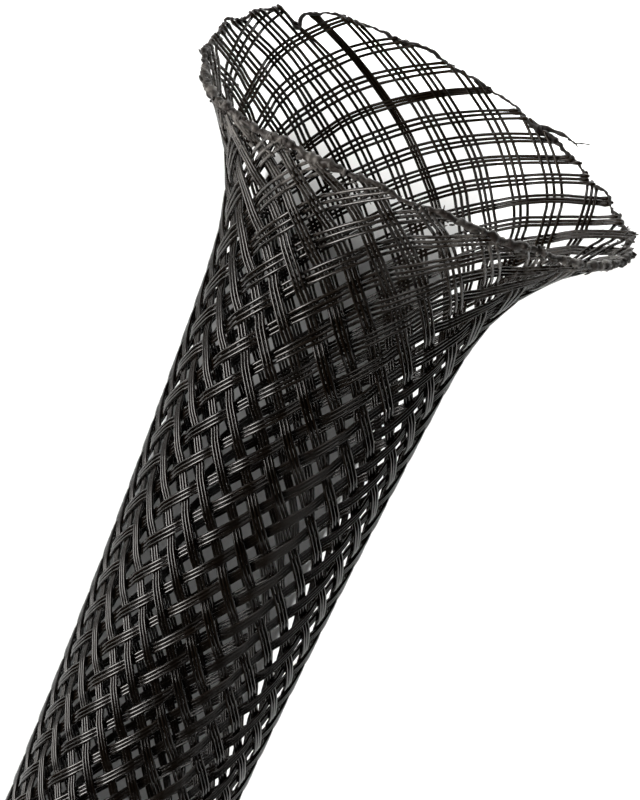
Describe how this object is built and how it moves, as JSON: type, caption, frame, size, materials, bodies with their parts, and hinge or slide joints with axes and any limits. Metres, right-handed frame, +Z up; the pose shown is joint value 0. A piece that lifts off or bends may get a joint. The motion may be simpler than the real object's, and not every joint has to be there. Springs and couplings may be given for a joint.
{
  "type": "braided cable sleeve",
  "caption": "Length of black expandable braided cable sleeving lying on its side, with one plain cut end and one end flared open into an oval mouth.",
  "frame": {"origin": "centre of the sleeve's bounding box in plan, on the plane it rests on", "axes": "+X along the sleeve towards its flared mouth, +Z up"},
  "size_m": [0.3051, 0.0355, 0.0245],
  "materials": {
    "black_monofilament": "black monofilament with a soft gloss"
  },
  "bodies": {
    "root": {"braided_sleeve": "black_monofilament"}
  },
  "joints": []
}
